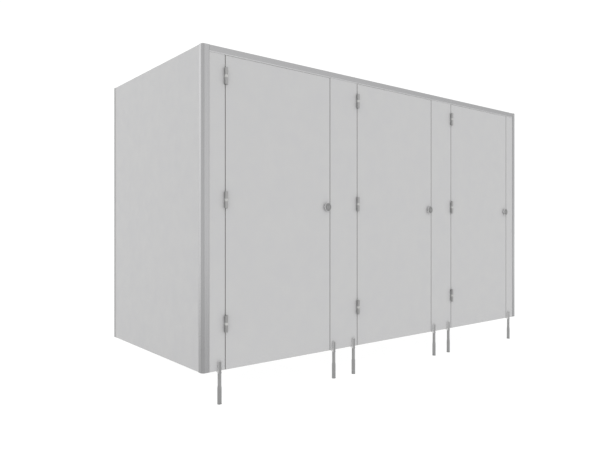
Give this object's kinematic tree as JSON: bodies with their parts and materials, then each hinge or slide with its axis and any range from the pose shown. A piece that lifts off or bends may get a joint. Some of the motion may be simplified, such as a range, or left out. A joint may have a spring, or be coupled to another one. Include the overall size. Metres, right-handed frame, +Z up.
{
  "type": "toilet cubicle",
  "caption": "Row of toilet cubicles: flush outward-opening doors on barrel hinges, knob locks with sliding bolts, aluminium posts and head rail, levelling pedestals.",
  "frame": {"origin": "on the floor, at the middle of the bounding box: x = 0 halfway along the row, y = 0 halfway between the knobs' faces and the wall", "axes": "+Z up, -Y out of the doors, +X along the row to the right as seen by someone facing the doors"},
  "size_m": [3.2, 1.3556, 2.027],
  "materials": {
    "laminate": "compact laminate with a fine matt face and bare bevelled edges",
    "aluminium": "satin anodised extrusion",
    "steel": "satin stainless steel",
    "screws": "plain stainless steel",
    "nylon": "moulded nylon, light grey",
    "coin_disc": "satin disc with a coin slot",
    "rubber": "extruded sealing strip"
  },
  "bodies": {
    "row_frame": {"head_rail": "aluminium", "head_strips": "nylon", "corner_post_left": "aluminium", "corner_post_right": "aluminium", "corner_caps": "nylon", "end_panel_left": "laminate", "end_panel_right": "laminate", "partition_1": "laminate", "partition_2": "laminate", "pilaster_left": "laminate", "pilaster_1": "laminate", "pilaster_2": "laminate", "pilaster_right": "laminate", "wall_channels": "aluminium", "partition_channels": "aluminium", "pedestal_forks": "steel", "pedestal_rods": "steel", "pedestal_locknuts": "steel", "pedestal_bolts": "steel", "hinge_frame_wings": "steel", "hinge_pins": "steel", "hinge_bushes": "nylon", "lock_keeps": "steel", "door_stops": "aluminium", "stop_seals": "rubber", "frame_screws": "screws"},
    "foot_1": {"foot_1": "steel"},
    "foot_2": {"foot_2": "steel"},
    "foot_3": {"foot_3": "steel"},
    "foot_4": {"foot_4": "steel"},
    "foot_5": {"foot_5": "steel"},
    "foot_6": {"foot_6": "steel"},
    "door_1": {"door_1": "laminate", "hinge_door_wings_1": "steel", "door_screws_1": "screws", "knob_1": "steel", "lock_case_1": "steel", "coat_hook_1": "steel"},
    "turn_1": {"thumb_turn_1": "steel", "indicator_1": "coin_disc"},
    "bolt_1": {"bolt_1": "steel"},
    "door_2": {"door_2": "laminate", "hinge_door_wings_2": "steel", "door_screws_2": "screws", "knob_2": "steel", "lock_case_2": "steel", "coat_hook_2": "steel"},
    "turn_2": {"thumb_turn_2": "steel", "indicator_2": "coin_disc"},
    "bolt_2": {"bolt_2": "steel"},
    "door_3": {"door_3": "laminate", "hinge_door_wings_3": "steel", "door_screws_3": "screws", "knob_3": "steel", "lock_case_3": "steel", "coat_hook_3": "steel"},
    "turn_3": {"thumb_turn_3": "steel", "indicator_3": "coin_disc"},
    "bolt_3": {"bolt_3": "steel"}
  },
  "joints": [
    {"name": "door_1_swing", "type": "hinge", "parent": "row_frame", "child": "door_1", "pos_m": [-1.45, -0.6678, 1.1575], "axis": [0, 0, -1], "range_deg": [0, 110], "stiffness_Nm_per_rad": 1.5, "springref_deg": -11.46},
    {"name": "turn_1_quarter_turn", "type": "hinge", "parent": "door_1", "child": "turn_1", "pos_m": [-0.68, -0.6572, 1.132], "axis": [0, 1, 0], "range_deg": [0, 90]},
    {"name": "bolt_1_slide", "type": "slide", "parent": "door_1", "child": "bolt_1", "axis": [1, 0, 0], "range_m": [0, 0.01202]},
    {"name": "door_2_swing", "type": "hinge", "parent": "row_frame", "child": "door_2", "pos_m": [-0.4, -0.6678, 1.1575], "axis": [0, 0, -1], "range_deg": [0, 110], "stiffness_Nm_per_rad": 1.5, "springref_deg": -11.46},
    {"name": "turn_2_quarter_turn", "type": "hinge", "parent": "door_2", "child": "turn_2", "pos_m": [0.37, -0.6572, 1.132], "axis": [0, 1, 0], "range_deg": [0, 90]},
    {"name": "bolt_2_slide", "type": "slide", "parent": "door_2", "child": "bolt_2", "axis": [1, 0, 0], "range_m": [0, 0.01202]},
    {"name": "door_3_swing", "type": "hinge", "parent": "row_frame", "child": "door_3", "pos_m": [0.65, -0.6678, 1.1575], "axis": [0, 0, -1], "range_deg": [0, 110], "stiffness_Nm_per_rad": 1.5, "springref_deg": -11.46},
    {"name": "turn_3_quarter_turn", "type": "hinge", "parent": "door_3", "child": "turn_3", "pos_m": [1.42, -0.6572, 1.132], "axis": [0, 1, 0], "range_deg": [0, 90]},
    {"name": "bolt_3_slide", "type": "slide", "parent": "door_3", "child": "bolt_3", "axis": [1, 0, 0], "range_m": [0, 0.01202]},
    {"name": "foot_1_level", "type": "slide", "parent": "row_frame", "child": "foot_1", "axis": [0, 0, 1], "range_m": [0, 0.035]},
    {"name": "foot_2_level", "type": "slide", "parent": "row_frame", "child": "foot_2", "axis": [0, 0, 1], "range_m": [0, 0.035]},
    {"name": "foot_3_level", "type": "slide", "parent": "row_frame", "child": "foot_3", "axis": [0, 0, 1], "range_m": [0, 0.035]},
    {"name": "foot_4_level", "type": "slide", "parent": "row_frame", "child": "foot_4", "axis": [0, 0, 1], "range_m": [0, 0.035]},
    {"name": "foot_5_level", "type": "slide", "parent": "row_frame", "child": "foot_5", "axis": [0, 0, 1], "range_m": [0, 0.035]},
    {"name": "foot_6_level", "type": "slide", "parent": "row_frame", "child": "foot_6", "axis": [0, 0, 1], "range_m": [0, 0.035]}
  ],
  "couplings": [
    {"joint": "turn_1_quarter_turn", "follows": "bolt_1_slide", "rad_per_m": 130.67},
    {"joint": "turn_2_quarter_turn", "follows": "bolt_2_slide", "rad_per_m": 130.67},
    {"joint": "turn_3_quarter_turn", "follows": "bolt_3_slide", "rad_per_m": 130.67}
  ]
}
